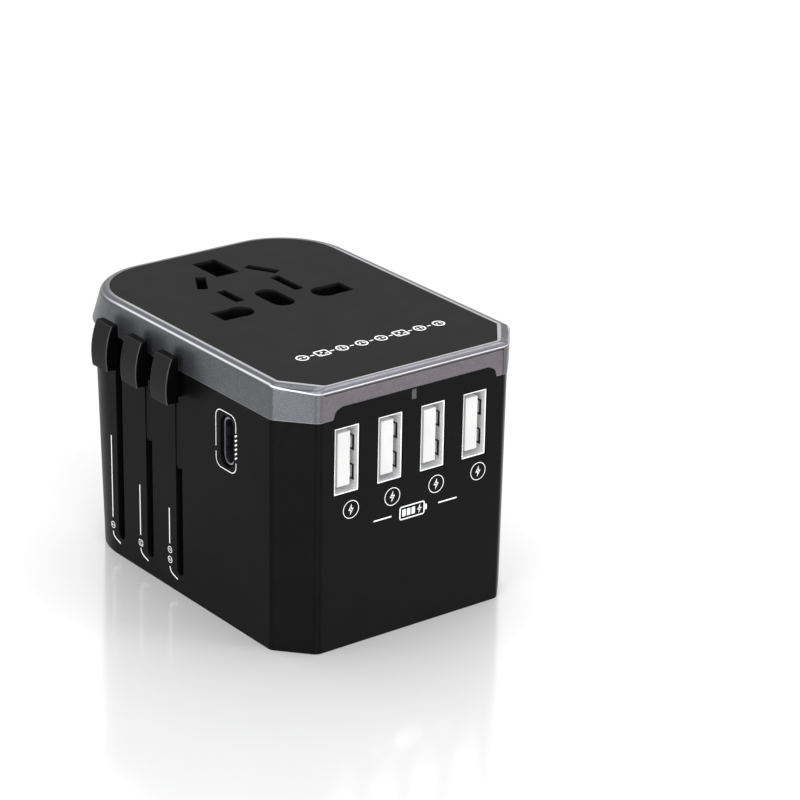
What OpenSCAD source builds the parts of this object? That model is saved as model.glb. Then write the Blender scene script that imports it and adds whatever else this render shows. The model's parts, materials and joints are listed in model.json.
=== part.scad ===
// Universal travel adapter: a socket block with a universal socket on top, three plugs that slide
// out of the base one at a time, four USB-A ports, a USB-C port and the charger inside.
// Frame: +Z up, origin at the middle of the body's footprint on the surface it rests on.
// X runs across the body with the slider knobs on the -X side, and the USB-A ports face -Y.

/* [Body] */
// Width of the bezel across X
body_w = 53; // [52:0.5:56]
// Length of the bezel along Y
body_l = 72; // [71:0.5:75]
// Height of the socket face above the base
body_h = 50.9; // [50.5:0.1:52]
// Height of the seam between housing and bezel
seam_z = 44.4; // [44:0.1:45]
// Radius of the bezel's two back corners
corner_r = 12; // [11:0.5:14]
// Radius of the housing's back corners at the seam
corner_top_r = 12.4; // [12:0.2:14]
// Radius of the housing's back corners at the base
corner_base_r = 14.8; // [13:0.2:16]
// Size of the two chamfered corners on the USB side, along X and Y
chamfer = [5.7, 6.4]; // [5:0.1:8]
// Radius of the upright edges between the chamfers and the USB face
edge_front = 2; // [0.5:0.1:3]
// Radius of the upright edges between the chamfers and the sides
edge_side = 1.6; // [1:0.1:4]
// Housing wall thickness
wall = 2; // [1.8:0.1:2.2]
// How far each housing wall leans in from the seam to the base
draft = 0.25; // [0:0.05:0.35]
// Thickness of the base plate
base_t = 2; // [1.6:0.1:2]

/* [Socket face] */
// Offset of the socket's centre line along X
socket_x = -0.8; // [-1:0.1:1]
// Y of the line and neutral holes
socket_y = 2.9; // [2:0.1:3.5]
// Thickness of the socket plate
plate_t = 2.5; // [2:0.1:2.5]
// Radius of the socket plate's back corners
plate_r = 12.4; // [12:0.1:16]
// Size of the socket plate's chamfered corners, along X and Y
plate_chamfer = [5.3, 6.7]; // [4:0.1:8]
// Rim of the bezel beside the socket plate, on the long sides
rim_x = 2.2; // [1.8:0.1:2.6]
// Rim of the bezel beside the socket plate, at the front and back
rim_y = 0.8; // [0.7:0.1:1.2]

// Radius of the bezel's back corners along its top edge
rim_r = 14; // [12:0.5:16]
// How far the bezel leans in at the back
lean_in = 1.2; // [0:0.1:1.4]

/* [Sliders] */
// Y of the back slider, which drives the European pins
slider_y = 19.1; // [19:0.1:19.4]
// Distance from one slider to the next
slider_pitch = 9.85; // [9.7:0.05:10]
// Width of a slider slot
slot_w = 2.1; // [2:0.1:2.4]
// Height of the lower end of a slot
slot_low = 3.6; // [3.2:0.1:3.7]
// Travel of the European and American plugs
short_travel = 21; // [19:0.5:21]
// Travel of the British plug
uk_travel = 23.2; // [23:0.1:23.2]
// Width of a knob along Y
knob_w = 5.2; // [4.6:0.1:6]
// How far a knob can be pressed in
knob_press = 0.9; // [0.8:0.1:1.4]

/* [Ports] */
// Opening of a USB-A shell, across and up
usb_a = [4.8, 12.1]; // [4.7:0.1:12.6]
// Distance between the USB-A ports
usb_a_pitch = 9.45; // [9:0.05:9.8]
// Offset of the USB-A row along X
usb_a_x = -0.3; // [-1:0.1:1]
// Height of the USB-A ports' centres
port_z = 36.1; // [36:0.1:36.5]
// Y of the USB-C port
usb_c_y = -16; // [-17:0.1:-15.5]
// Height of the USB-C port's centre
usb_c_z = 35.6; // [35.4:0.1:36.2]

/* [Hidden] */
$fn = 48;
eps = 0.01;
gap = 0.3;                      // clearance between parts that move past each other
snug = 0.05;                    // clearance between parts that are fixed together

bezel_hx = body_w / 2;
bezel_hy = body_l / 2;
step = 0.2;                     // the bezel stands this far proud of the housing
house_hx = bezel_hx - step;
house_hy = bezel_hy - step;
bevel_h = 1;                    // height of the bezel's rounded top edge
lip = [rim_x - 0.35, rim_y - 0.3];
recess_half = bezel_hx - chamfer[0] - 0.9;
plate_z = body_h - plate_t;

notch_half = 18.2;
notch_x = 0.4;                  // the raised edge sits a little off centre

eu_y = slider_y;
uk_y = slider_y - slider_pitch;
us_y = slider_y - 2 * slider_pitch;
slot_top = seam_z;

// Sliding carriers: underside at rest, and thickness
carrier_t = 4;
eu_z = base_t + gap + short_travel;
uk_z = base_t + gap + uk_travel;
us_z = base_t + 1 + short_travel;
arm_x = [-house_hx + wall + 0.4, -house_hx + wall + 1.8];
arm_half = 3.2;
arm_top = seam_z - gap;

// Knobs
knob_front = -bezel_hx - 4.1;
knob_back = -bezel_hx - knob_press - 0.4;
knob_low = 39;
knob_high = 47.8;
knob_curve = 14;
stem_half = 0.75;
stem_z = [knob_low + gap, 43];
foot_x = [arm_x[1] + gap, arm_x[1] + gap + 0.8];

// Plug pins, to the sizes in the national plug standards
eu_pin_r = 2;
eu_pitch = 19;
eu_len = 19;
eu_tip = short_travel - eu_len;
uk_pin = [6.35, 4];
uk_pitch = 22.2;
uk_len = 17.7;
uk_earth = [4, 8];
uk_earth_len = 22.7;
us_blade = [1.5, 6.35];
us_pitch = 12.7;
us_len = 16.5;
us_pivot_shift = 1;             // pivot behind the blade's middle, so the turned blades stand 13.7 apart
us_turn = 30;
us_pivot_y = us_y + us_pivot_shift;
hub_r = 3;
spindle_r = 2;

// Socket holes
uk_earth_hole = [5.1, 8.5];
flat_hole = 2;
au_half = 6.85;
au_y = socket_y + 16.4;
us_hole_y = socket_y + 7.7;
ground_y = socket_y + 2.5;
round_hole_r = 2.6;
pin_hole_out = 14.5;

// Socket block under the plate
block_x = [socket_x - 18.2, socket_x + 18.2];
block_y = [-13.8, 30];
block_z = [30.8, plate_z - snug];
shutter_z = [plate_z - 1.8, plate_z - gap];
shutter_open = 6;
shutter_y = [-6, 6];
fuse = [27.5, 24];               // Y and Z of the fuse

// Charger
board_z = [27.4, 29];
board_y = [-33.7, -19.5];
usb_wall = 0.25;
usb_a_depth = 14;
usb_c_shell = [3.2, 9];
usb_c_depth = 7.6;
post_back = [14, 30];
post_front = [20.5, -27.5];
post_r = 2.5;
screw_r = 0.9;
head_r = 1.9;

// ---- Shared shapes -------------------------------------------------------------------------

// A box between two corners
module box(x, y, z) {
    translate([x[0], y[0], z[0]]) cube([x[1] - x[0], y[1] - y[0], z[1] - z[0]]);
}

// Upright cylinder between two heights
module cylinder_z(r, z0, z1) {
    translate([0, 0, z0]) cylinder(r = r, h = z1 - z0);
}

// A corner at b between a and c, rounded by r: where the arc starts and ends, and its centre
function unit(v) = v / norm(v);
function rounded(a, b, c, r) =
    let (u = unit(a - b), v = unit(c - b), half = acos(u * v) / 2, t = r / tan(half))
    [b + u * t, b + v * t, b + unit(u + v) * r / sin(half)];
function mirrored(p) = [-p[0], p[1]];

// Plan of the body at a given half width and half length: chamfers at -Y with softened edges,
// and round corners at +Y, where it can fall short of the half length
module plan(hx, hy, r = corner_r, cut = chamfer, soft = 1, short = 0) {
    front = [hx - cut[0], -hy];
    side = [hx, -hy + cut[1]];
    f = rounded([0, -hy], front, side, edge_front * soft);
    g = rounded(front, side, [hx, 0], edge_side * soft);
    right = [f[0], f[1], g[0], g[1], [hx, hy - short - r], [hx - r, hy - short]];
    polygon(concat(right, [for (i = [len(right) - 1:-1:0]) mirrored(right[i])]));
    for (s = [-1, 1]) {
        translate([s * (hx - r), hy - short - r]) circle(r, $fn = 96);
        translate([s * f[2][0], f[2][1]]) circle(edge_front * soft);
        translate([s * g[2][0], g[2][1]]) circle(edge_side * soft);
    }
}

// Plan of the inside, drawn in from the housing by a margin all round
module plan_in(m, short = 0) {
    plan(house_hx - m, house_hy - m, corner_base_r + 0.8 - m, chamfer - [0.4, 0.4] * m, short = short);
}

// Outside of the housing: it narrows a little towards the base, where its back corners are rounder
module outside() hull() {
    linear_extrude(eps)
        plan(house_hx - draft, house_hy - draft, corner_base_r);
    translate([0, 0, seam_z - eps]) linear_extrude(eps) plan(house_hx, house_hy, corner_top_r);
}

// Outline of the raised housing edge over the USB-A ports, in X and Z
module notch_outline(g) {
    left = [for (p = [[0.1, -1], [0.35, 0.45], [0.5, 1.1], [0.95, 1.6], [2.1, 2.1]])
            [notch_x - notch_half - g + p[0], p[1] < 0 ? seam_z - eps : seam_z + p[1] + g]];
    polygon(concat(left, [for (i = [len(left) - 1:-1:0]) [2 * notch_x - left[i][0], left[i][1]]]));
}

// Racetrack of a given width and height, drawn in X and Y
module racetrack(w, h) {
    square([w, h - w], center = true);
    for (s = [-1, 1]) translate([0, s * (h - w) / 2]) circle(w / 2);
}

// The four screw positions
module at_screws() {
    for (s = [-1, 1]) {
        translate([s * post_back[0], post_back[1], 0]) children();
        translate([s * post_front[0], post_front[1], 0]) children();
    }
}

// X of USB-A port number i, from 1 to 4
function usb_x(i) = usb_a_x + (i - 2.5) * usb_a_pitch;

// ---- Housing -------------------------------------------------------------------------------

module main_housing() color([0.13, 0.13, 0.135]) difference() {
    union() {
        difference() {
            outside();
            translate([0, 0, base_t]) linear_extrude(seam_z) plan_in(wall);
            translate([0, 0, -eps]) linear_extrude(base_t + 2 * eps) plan_in(1.2);
        }
        // raised edge over the USB-A ports
        translate([0, -house_hy + wall, 0]) rotate([90, 0, 0]) linear_extrude(wall) notch_outline(0);
        // screw posts; the back pair also carries the socket block, the front pair the board
        for (s = [-1, 1]) {
            translate([s * post_back[0], post_back[1], base_t])
                cylinder(r = post_r, h = block_z[0] - base_t);
            box([s * post_back[0] - 1, s * post_back[0] + 1], [post_back[1] + 1, house_hy - 1.5],
                [base_t, block_z[0]]);
            translate([s * post_front[0], post_front[1], base_t])
                cylinder(r = post_r, h = board_z[0] - base_t);
            box(s > 0 ? [post_front[0] + 1, house_hx - 1.5] : [-house_hx + 1.5, -post_front[0] - 1],
                [post_front[1] - 1, post_front[1] + 1], [base_t, board_z[0]]);
        }
        // ribs that guide the slider arms, one on each side of every arm
        for (y = [eu_y + slider_pitch / 2, (eu_y + uk_y) / 2, (uk_y + us_y) / 2,
                  us_y - slider_pitch / 2])
            box([-house_hx + 1.5, arm_x[1] + 0.4], [y - 0.8, y + 0.8], [base_t, arm_top]);
        // brackets on the +X wall that steady the socket block
        for (y = [-9, 12])
            box([block_x[1], house_hx - 1.5], [y - 1, y + 1], [block_z[0] + 4, arm_top]);
    }
    // slider slots, open at the top under the bezel, with a round lower end
    for (y = [eu_y, uk_y, us_y]) {
        box([-bezel_hx - 1, -house_hx + wall + 1], [y - slot_w / 2, y + slot_w / 2],
            [slot_low + slot_w / 2, slot_top + 1]);
        translate([-bezel_hx - 1, y, slot_low + slot_w / 2]) rotate([0, 90, 0])
            cylinder(d = slot_w, h = wall + 2);
    }
    // USB-A windows
    for (i = [1:4])
        box([usb_x(i) - usb_a[0] / 2 - 0.35, usb_x(i) + usb_a[0] / 2 + 0.35],
            [-house_hy - 1, -house_hy + wall + 1],
            [port_z - usb_a[1] / 2 - 0.35, port_z + usb_a[1] / 2 + 0.35]);
    // USB-C window with a shallow finger recess round it
    translate([-house_hx - 1, usb_c_y, usb_c_z]) rotate([0, 90, 0]) rotate([0, 0, 90])
        linear_extrude(wall + 2) racetrack(usb_c_shell[0] + 0.2, usb_c_shell[1] + 0.2);
    translate([-house_hx - 1, usb_c_y, usb_c_z]) rotate([0, 90, 0]) rotate([0, 0, 90])
        linear_extrude(1.7) racetrack(usb_c_shell[0] + 0.9, usb_c_shell[1] + 0.9);
    // window for the light pipe
    box([-0.55, 0.55], [-house_hy - 1, -house_hy + wall + 1], [seam_z - 0.2, seam_z + 1.8]);
    // pilot holes for the base screws
    at_screws() translate([0, 0, base_t - 1]) cylinder(r = screw_r, h = 14);
}

module base_plate() color([0.12, 0.12, 0.125]) difference() {
    linear_extrude(base_t) plan_in(1.2 + snug);
    for (s = [-1, 1]) {
        translate([s * eu_pitch / 2, eu_y, -1]) cylinder(r = eu_pin_r + gap, h = base_t + 2);
        translate([s * uk_pitch / 2, uk_y, base_t / 2])
            cube([uk_pin[0] + 2 * gap, uk_pin[1] + 2 * gap, base_t + 2], center = true);
        // the American blades leave through a bow-tie opening, so that they can be turned
        for (a = [0:10:us_turn])
            translate([s * us_pitch / 2, us_pivot_y, base_t / 2]) rotate([0, 0, s * a])
                translate([0, -us_pivot_shift, 0])
                    cube([us_blade[0] + 2 * gap, us_blade[1] + 2 * gap, base_t + 2], center = true);
    }
    translate([0, uk_y - uk_pitch, base_t / 2])
        cube([uk_earth[0] + 2 * gap, uk_earth[1] + 2 * gap, base_t + 2], center = true);
    at_screws() {
        translate([0, 0, -1]) cylinder(r = screw_r + 0.2, h = base_t + 2);
        translate([0, 0, -1]) cylinder(r = head_r + 0.1, h = 2.2);
    }
}

module base_screws() color([0.35, 0.35, 0.36]) at_screws() difference() {
    union() {
        translate([0, 0, 0.25]) cylinder(r = head_r, h = 0.95);
        translate([0, 0, 0.5]) cylinder(r = screw_r - 0.02, h = 11);
    }
    for (a = [0, 90]) rotate([0, 0, a]) translate([0, 0, 0.25]) cube([2.2, 0.5, 1], center = true);
}

module bezel() color([0.38, 0.38, 0.41]) difference() {
    hull() {
        translate([0, 0, seam_z]) linear_extrude(eps) plan(bezel_hx, bezel_hy);
        // the top edge rounds over in four flats
        for (a = [0:22.5:90]) let (t = 1 - cos(a))
            translate([0, 0, body_h - bevel_h * (1 - sin(a)) - eps]) linear_extrude(eps)
                plan(bezel_hx - lip[0] * t, bezel_hy - lip[1] * t, rim_r + (plate_r + 0.3 - rim_r) * t,
                     chamfer + (plate_chamfer - chamfer) * t, short = lean_in);
    }
    // pocket of the socket plate, and the opening under it
    translate([0, 0, plate_z]) linear_extrude(plate_t + 1)
        plan(bezel_hx - rim_x, bezel_hy - rim_y, plate_r, plate_chamfer, 0.5, lean_in + 0.3);
    translate([0, 0, seam_z - 1]) linear_extrude(body_h) plan_in(wall + 0.3, lean_in);
    // shallow recess and groove in the face over the USB-A ports
    box([-recess_half, recess_half], [-bezel_hy - 1, -bezel_hy + 0.1], [seam_z - 1, body_h - 1.7]);
    box([-recess_half, recess_half], [-bezel_hy - 1, -bezel_hy + 0.35], [body_h - 1.7, body_h - 1.45]);
    // notch over the USB-A ports
    translate([0, -house_hy + wall + 1, 0]) rotate([90, 0, 0]) linear_extrude(wall + 2)
        notch_outline(snug);
}

// ---- Socket --------------------------------------------------------------------------------

// Every hole of the universal socket, in X and Y, grown by a margin
module socket_holes(m = 0) translate([socket_x, 0]) {
    // British earth
    translate([0, socket_y + 21.8]) square([uk_earth_hole[0] + 2 * m, uk_earth_hole[1] + 2 * m],
                                           center = true);
    ground_hole(m);
    for (s = [-1, 1]) {
        pin_hole(s, m);
        // American flat pins: the neutral one is longer
        translate([s * us_pitch / 2, us_hole_y])
            square([flat_hole + 2 * m, (s > 0 ? 8.4 : 6.6) + 2 * m], center = true);
        // Australian slanted pins
        translate([s * au_half, au_y]) rotate([0, 0, s * us_turn])
            square([flat_hole + 2 * m, 6.6 + 2 * m], center = true);
    }
}

// Middle oblong for round and flat earth pins
module ground_hole(m = 0) translate([0, ground_y]) {
    racetrack(4.5 + 2 * m, 9.5 + 2 * m);
}

// Line or neutral hole: a round hole for round pins that runs out into a square-ended slot
module pin_hole(s, m = 0) {
    translate([s * eu_pitch / 2, socket_y]) circle(round_hole_r + m);
    x0 = min(s * eu_pitch / 2, s * (pin_hole_out + m));
    translate([x0, socket_y - 2.4 - m]) square([abs(pin_hole_out + m - eu_pitch / 2), 4.8 + 2 * m]);
}

module socket_plate() color([0.23, 0.23, 0.235]) translate([0, 0, plate_z]) difference() {
    linear_extrude(plate_t)
        plan(bezel_hx - rim_x - snug, bezel_hy - rim_y - snug, plate_r - snug, plate_chamfer,
             0.5, lean_in + 0.3);
    translate([0, 0, -1]) linear_extrude(plate_t + 2) socket_holes();
}

// Moulded block that holds the brass contacts and guides the shutter
module socket_block() color([0.2, 0.2, 0.21]) difference() {
    union() {
        box(block_x, block_y, block_z);
        box([socket_x - 3.4, socket_x + 3.4], [block_y[0] - 5.8, block_y[0] + 1],
            [shutter_z[0] - 2.6, block_z[1]]);
    }
    // wells under the holes
    translate([0, 0, block_z[0] + 1.2]) linear_extrude(body_h) socket_holes(0.3);
    // room for the shutter, its travel and its spring
    box([socket_x - 17, socket_x + 17],
        [shutter_y[0] - shutter_open - gap, shutter_y[1] + gap], [shutter_z[0] - gap, body_h]);
    box([socket_x - 2.2, socket_x + 2.2], [block_y[0] - 5, shutter_y[0]],
        [shutter_z[0] - 1.6, body_h]);
    // channels for the feet of the contacts
    for (s = [-1, 1])
        box([socket_x + s * 9.35 - 5 - snug, socket_x + s * 9.35 + 5 + snug], [0, 23.3],
            [block_z[0] - 1, block_z[0] + 1.4]);
    // the British earth well goes right through
    translate([socket_x, socket_y + 21.8, block_z[0]])
        cube([uk_earth_hole[0] + 0.6, uk_earth_hole[1] + 0.6, 4], center = true);
}

// Sliding safety shutter: two wings close the line and neutral holes, sloping so a pin opens it
module shutter() color([0.16, 0.16, 0.17]) difference() {
    union() {
        for (s = [-1, 1])
            box([socket_x + s * 11 - 5.4, socket_x + s * 11 + 5.4], shutter_y, shutter_z);
        box([socket_x - 6, socket_x + 6], [shutter_y[0], shutter_y[0] + 3], shutter_z);
    }
    // ramps that fall towards +Y under the two pin holes
    for (s = [-1, 1])
        translate([socket_x + s * 11 - 4.2, 0, 0]) rotate([90, 0, 90]) linear_extrude(8.4)
            polygon([[socket_y - 2.2, shutter_z[1] + eps], [shutter_y[1] + 1, shutter_z[1] + eps],
                     [shutter_y[1] + 1, shutter_z[1] - 1.1]]);
}

module shutter_spring() color([0.7, 0.7, 0.72]) {
    // a stack of rings stands for the fine coils
    for (i = [0:7])
        translate([socket_x, shutter_y[0] - 0.5 - i * 0.85, shutter_z[0] + 0.2]) rotate([90, 0, 0])
            rotate_extrude() translate([1.2, 0]) circle(0.2, $fn = 16);
    translate([socket_x - 0.1, shutter_y[0] - 6.5, shutter_z[0] + 1.3]) cube([0.2, 6.5, 0.2]);
}

// One pole of the socket: a foot in the block's channel and a pair of leaves for each pin
module contact(s) color([0.83, 0.66, 0.32]) translate([socket_x, 0, 0]) {
    box([s * 9.35 - 5, s * 9.35 + 5], [0.3, 23], [block_z[0], block_z[0] + 0.6]);
    for (t = [-1, 1]) {
        // round and British pins
        translate([s * 11.1 - 2.9, socket_y + t * 2.15 - 0.2, block_z[0] + 0.3])
            cube([5.8, 0.4, 7.5]);
        translate([s * us_pitch / 2 + t * 0.95, us_hole_y, block_z[0] + 0.3])
            translate([-0.2, -2.6, 0]) cube([0.4, 5.2, 7.5]);
        translate([s * au_half, au_y, block_z[0] + 0.3]) rotate([0, 0, s * us_turn])
            translate([t * 0.95 - 0.2, -2.6, 0]) cube([0.4, 5.2, 7.5]);
    }
}

module line_contact() contact(1);
module neutral_contact() contact(-1);

// Brass rails that the plugs' wipers follow as the carriers slide
module rail(s) color([0.83, 0.66, 0.32]) {
    x = s > 0 ? [9, 13] : [-13, -9];
    for (y = [13.9, 5.0]) box(x, [y, y + 0.5], [base_t + 1, block_z[0] - 0.2]);
    box(x, [5.0, 14.4], [block_z[0] - 0.6, block_z[0]]);
}

module line_rail() rail(1);
module neutral_rail() rail(-1);

module main_fuse() {
    color([0.9, 0.88, 0.8]) translate([-7, fuse[0], fuse[1]]) rotate([0, 90, 0])
        cylinder(r = 2.3, h = 14);
    color([0.75, 0.75, 0.76]) for (x = [-10, 6.5])
        translate([x, fuse[0], fuse[1]]) rotate([0, 90, 0]) cylinder(r = 2.5, h = 3.5);
}

module fuse_clips() color([0.83, 0.66, 0.32]) for (x = [-9.5, 7])
    translate([x, 0, 0]) difference() {
        box([0, 2.5], [fuse[0] - 2.9, fuse[0] + 2.9], [fuse[1] - 2.3, block_z[0]]);
        translate([-1, fuse[0], fuse[1]]) rotate([0, 90, 0]) cylinder(r = 2.52, h = 5);
        box([-1, 4], [fuse[0] - 1.6, fuse[0] + 1.6], [fuse[1] - 5, fuse[1]]);
        box([-1, 4], [fuse[0] - 2.2, fuse[0] + 2.2], [fuse[1] + 3.2, block_z[0] - 0.6]);
    }

// ---- Sliding plugs -------------------------------------------------------------------------

// Arm of a carrier, between its bar and its knob, with a window for the knob's stem
module arm(y, z) difference() {
    box(arm_x, [y - arm_half, y + arm_half], [z, arm_top]);
    box([arm_x[0] - 1, arm_x[1] + 1], [y - stem_half - gap, y + stem_half + gap],
        [stem_z[0] - gap, stem_z[1] + gap]);
}

// Press-in knob: a curved cap that stands off the body, on a stem through the slot
module knob(y) color([0.15, 0.15, 0.155]) {
    intersection() {
        box([knob_front - 1, knob_back], [y - knob_w / 2, y + knob_w / 2], [knob_low, knob_high]);
        translate([knob_front + knob_curve, y - knob_w, 41.8]) rotate([-90, 0, 0])
            cylinder(r = knob_curve, h = 2 * knob_w, $fn = 128);
    }
    box([knob_back - 0.5, foot_x[1]], [y - stem_half, y + stem_half], stem_z);
    box(foot_x, [y - 2, y + 2], stem_z);
}

// Leaf spring of a knob: it hooks over the knob's foot and bears on the arm at its lower end
module knob_spring(y) color([0.75, 0.75, 0.77]) {
    t = 0.2;
    x0 = foot_x[0];
    x1 = foot_x[1];
    translate([0, y + 1.5, 0]) rotate([90, 0, 0]) linear_extrude(3)
        polygon([[x0, 32.5], [x0 + t, 32.5], [x0 + t, 34.5], [x1 + t, 38.4], [x1 + t, 42.6],
                 [x1, 42.6], [x1, 38.5], [x0, 34.6]]);
}

// Flush strip that fills the slot below a knob
module slot_strip(y, low) color([0.13, 0.13, 0.135]) {
    half = slot_w / 2 - 0.15;
    x = [-house_hx + draft - 0.05, arm_x[0]];
    box(x, [y - half, y + half], [low + half, knob_low + 0.2]);
    translate([x[0], y, low + half]) rotate([0, 90, 0]) cylinder(r = half, h = x[1] - x[0]);
}

module eu_carrier() color([0.17, 0.17, 0.18]) {
    arm(eu_y, eu_z);
    difference() {
        box([arm_x[1] - eps, eu_pitch / 2 + 4], [eu_y - 3.2, eu_y + 3.2], [eu_z, eu_z + carrier_t]);
        for (s = [-1, 1]) translate([s * eu_pitch / 2, eu_y, eu_z - 1])
            cylinder(r = 1.6 + 0.02, h = carrier_t + 2);
    }
}

module eu_pins() color([0.85, 0.82, 0.75]) for (s = [-1, 1])
    translate([s * eu_pitch / 2, eu_y, eu_tip]) {
        translate([0, 0, 1]) cylinder(r = eu_pin_r, h = 8);
        cylinder(r1 = 1.2, r2 = eu_pin_r, h = 1);
        cylinder(r = 1.6, h = eu_z + carrier_t - eu_tip);
    }

module eu_pin_sleeves() color([0.1, 0.1, 0.1]) for (s = [-1, 1])
    translate([s * eu_pitch / 2, eu_y, 0]) difference() {
        cylinder_z(eu_pin_r, eu_tip + 9, eu_z);
        cylinder_z(1.6 + 0.02, 0, body_h);
    }

module eu_wipers() color([0.83, 0.66, 0.32]) for (s = [-1, 1]) {
    z = eu_z + carrier_t;
    difference() {
        box([s * eu_pitch / 2 - 2.4, s * eu_pitch / 2 + 2.4], [14.9, eu_y + 2.4], [z, z + 0.4]);
        translate([s * eu_pitch / 2, eu_y, z - 1]) cylinder(r = 1.6 + 0.02, h = 3);
    }
    box(s > 0 ? [9.2, 11.8] : [-11.8, -9.2], [14.8, 15.1], [z - 4, z + 0.4]);
}

module uk_carrier() color([0.17, 0.17, 0.18]) {
    arm(uk_y, uk_z);
    z = [uk_z, uk_z + carrier_t];
    difference() {
        union() {
            box([arm_x[1] - eps, 22.3], [uk_y - 3.2, uk_y + 3.2], z);
            box([15.9, 22.3], [-17.3, uk_y], z);
            box([-4.2, 22.3], [-17.3, -8.6], z);
        }
        for (s = [-1, 1]) translate([s * uk_pitch / 2, uk_y, uk_z + 2])
            cube([uk_pin[0] - 1 + 2 * 0.02, uk_pin[1] - 1 + 2 * 0.02, carrier_t + 2], center = true);
        translate([0, uk_y - uk_pitch, uk_z + 2])
            cube([uk_earth[0] - 1 + 2 * 0.02, uk_earth[1] - 1 + 2 * 0.02, carrier_t + 2], center = true);
    }
}

// Flat pin with a thinner root: tip at z0, shoulder at z1, root end at z2
module flat_pin(size, z0, z1, z2) {
    translate([-size[0] / 2, -size[1] / 2, z0 + 0.8]) cube([size[0], size[1], z1 - z0 - 0.8]);
    translate([-size[0] / 2 + 0.5, -size[1] / 2 + 0.5, z0]) cube([size[0] - 1, size[1] - 1, z2 - z0]);
}

module uk_pins() color([0.85, 0.72, 0.42]) for (s = [-1, 1])
    translate([s * uk_pitch / 2, uk_y, 0])
        flat_pin(uk_pin, uk_travel - uk_len, uk_travel - uk_len + 8.2, uk_z + carrier_t);

module uk_pin_sleeves() color([0.1, 0.1, 0.1]) for (s = [-1, 1])
    translate([s * uk_pitch / 2, uk_y, 0]) difference() {
        box([-uk_pin[0] / 2, uk_pin[0] / 2], [-uk_pin[1] / 2, uk_pin[1] / 2],
            [uk_travel - uk_len + 8.2, uk_z]);
        box([-uk_pin[0] / 2 + 0.48, uk_pin[0] / 2 - 0.48], [-uk_pin[1] / 2 + 0.48, uk_pin[1] / 2 - 0.48],
            [0, body_h]);
    }

module uk_earth_pin() color([0.14, 0.14, 0.145]) translate([0, uk_y - uk_pitch, 0])
    flat_pin(uk_earth, uk_travel - uk_earth_len, uk_z, uk_z + carrier_t);

module uk_wipers() color([0.83, 0.66, 0.32]) for (s = [-1, 1]) {
    z = uk_z + carrier_t;
    box([s * uk_pitch / 2 - 2, s * uk_pitch / 2 + 2], [uk_y - 1.5, 13.2], [z, z + 0.4]);
    box(s > 0 ? [9.2, 11.8] : [-11.8, -9.2], [13.2, 13.5], [z - 4, z + 0.4]);
}

module uk_slot_strip() slot_strip(uk_y, 27.1);

module us_carrier() color([0.17, 0.17, 0.18]) {
    arm(us_y, us_z);
    difference() {
        union() {
            box([arm_x[1] - eps, -11], [us_y - 3.2, us_y + 3.2], [us_z, us_z + carrier_t]);
            box([-12, us_pitch / 2 + 4.6], [-4.4, 4.6], [us_z, us_z + carrier_t]);
        }
        for (s = [-1, 1]) translate([s * us_pitch / 2, us_pivot_y, 0]) {
            translate([0, 0, us_z - 1]) cylinder(r = spindle_r + 0.05, h = carrier_t + 2);
            translate([0, 0, us_z - 1]) cylinder(r = hub_r + gap, h = 2);
        }
    }
}

// American blade with its hub and spindle, which turn in the carrier
module us_blade(s) color([0.85, 0.72, 0.42]) translate([s * us_pitch / 2, us_pivot_y, 0]) {
    tip = short_travel - us_len;
    translate([0, -us_pivot_shift, 0]) difference() {
        translate([-us_blade[0] / 2, -us_blade[1] / 2, tip])
            cube([us_blade[0], us_blade[1], us_z - gap - tip]);
        translate([-5, 0, tip + 4]) rotate([0, 90, 0]) cylinder(r = 1.5, h = 10);
    }
    translate([0, 0, us_z - 0.6]) cylinder(r = hub_r, h = 1.3);
    cylinder_z(spindle_r, us_z + 0.5, us_z + carrier_t + 0.5);
    cylinder_z(spindle_r + 0.8, us_z + carrier_t + gap, us_z + carrier_t + 0.9);
}

module us_blade_left() us_blade(-1);
module us_blade_right() us_blade(1);

module us_wipers() color([0.83, 0.66, 0.32]) for (s = [-1, 1])
    box(s > 0 ? [9.5, 10.9] : [-10.9, -9.5], [1, 4.6], [us_z + carrier_t, us_z + carrier_t + 0.4]);

module us_slot_strip() slot_strip(us_y, 24.9);

module eu_knob() knob(eu_y);
module uk_knob() knob(uk_y);
module us_knob() knob(us_y);
module eu_knob_spring() knob_spring(eu_y);
module uk_knob_spring() knob_spring(uk_y);
module us_knob_spring() knob_spring(us_y);

// ---- Charger -------------------------------------------------------------------------------

module usb_board() color([0.05, 0.3, 0.16]) difference() {
    translate([0, 0, board_z[0]]) linear_extrude(board_z[1] - board_z[0])
        polygon([[-19, board_y[0]], [19, board_y[0]], [22, board_y[0] + 3.8], [22, board_y[1]],
                 [-22, board_y[1]], [-22, board_y[0] + 3.8]]);
    for (s = [-1, 1]) translate([s * post_front[0], post_front[1], 0])
        cylinder_z(1.1, 0, body_h);
}

// Steel shell of a USB-A port, open at the front
module usb_a_shell(i) color([0.78, 0.78, 0.8]) {
    x = usb_x(i);
    o = [usb_a[0] + 2 * usb_wall, usb_a[1] + 2 * usb_wall];
    y = [-house_hy + 0.25, -house_hy + usb_a_depth];
    difference() {
        box([x - o[0] / 2, x + o[0] / 2], y, [port_z - o[1] / 2, port_z + o[1] / 2]);
        box([x - usb_a[0] / 2, x + usb_a[0] / 2], [y[0] - 1, y[1] - usb_wall],
            [port_z - usb_a[1] / 2, port_z + usb_a[1] / 2]);
    }
    // two legs that reach down to the board
    for (dy = [4, 10]) box([x - 1.2, x + 1.2], [y[0] + dy, y[0] + dy + 1.5],
                           [board_z[1], port_z - o[1] / 2 + eps]);
}

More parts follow.
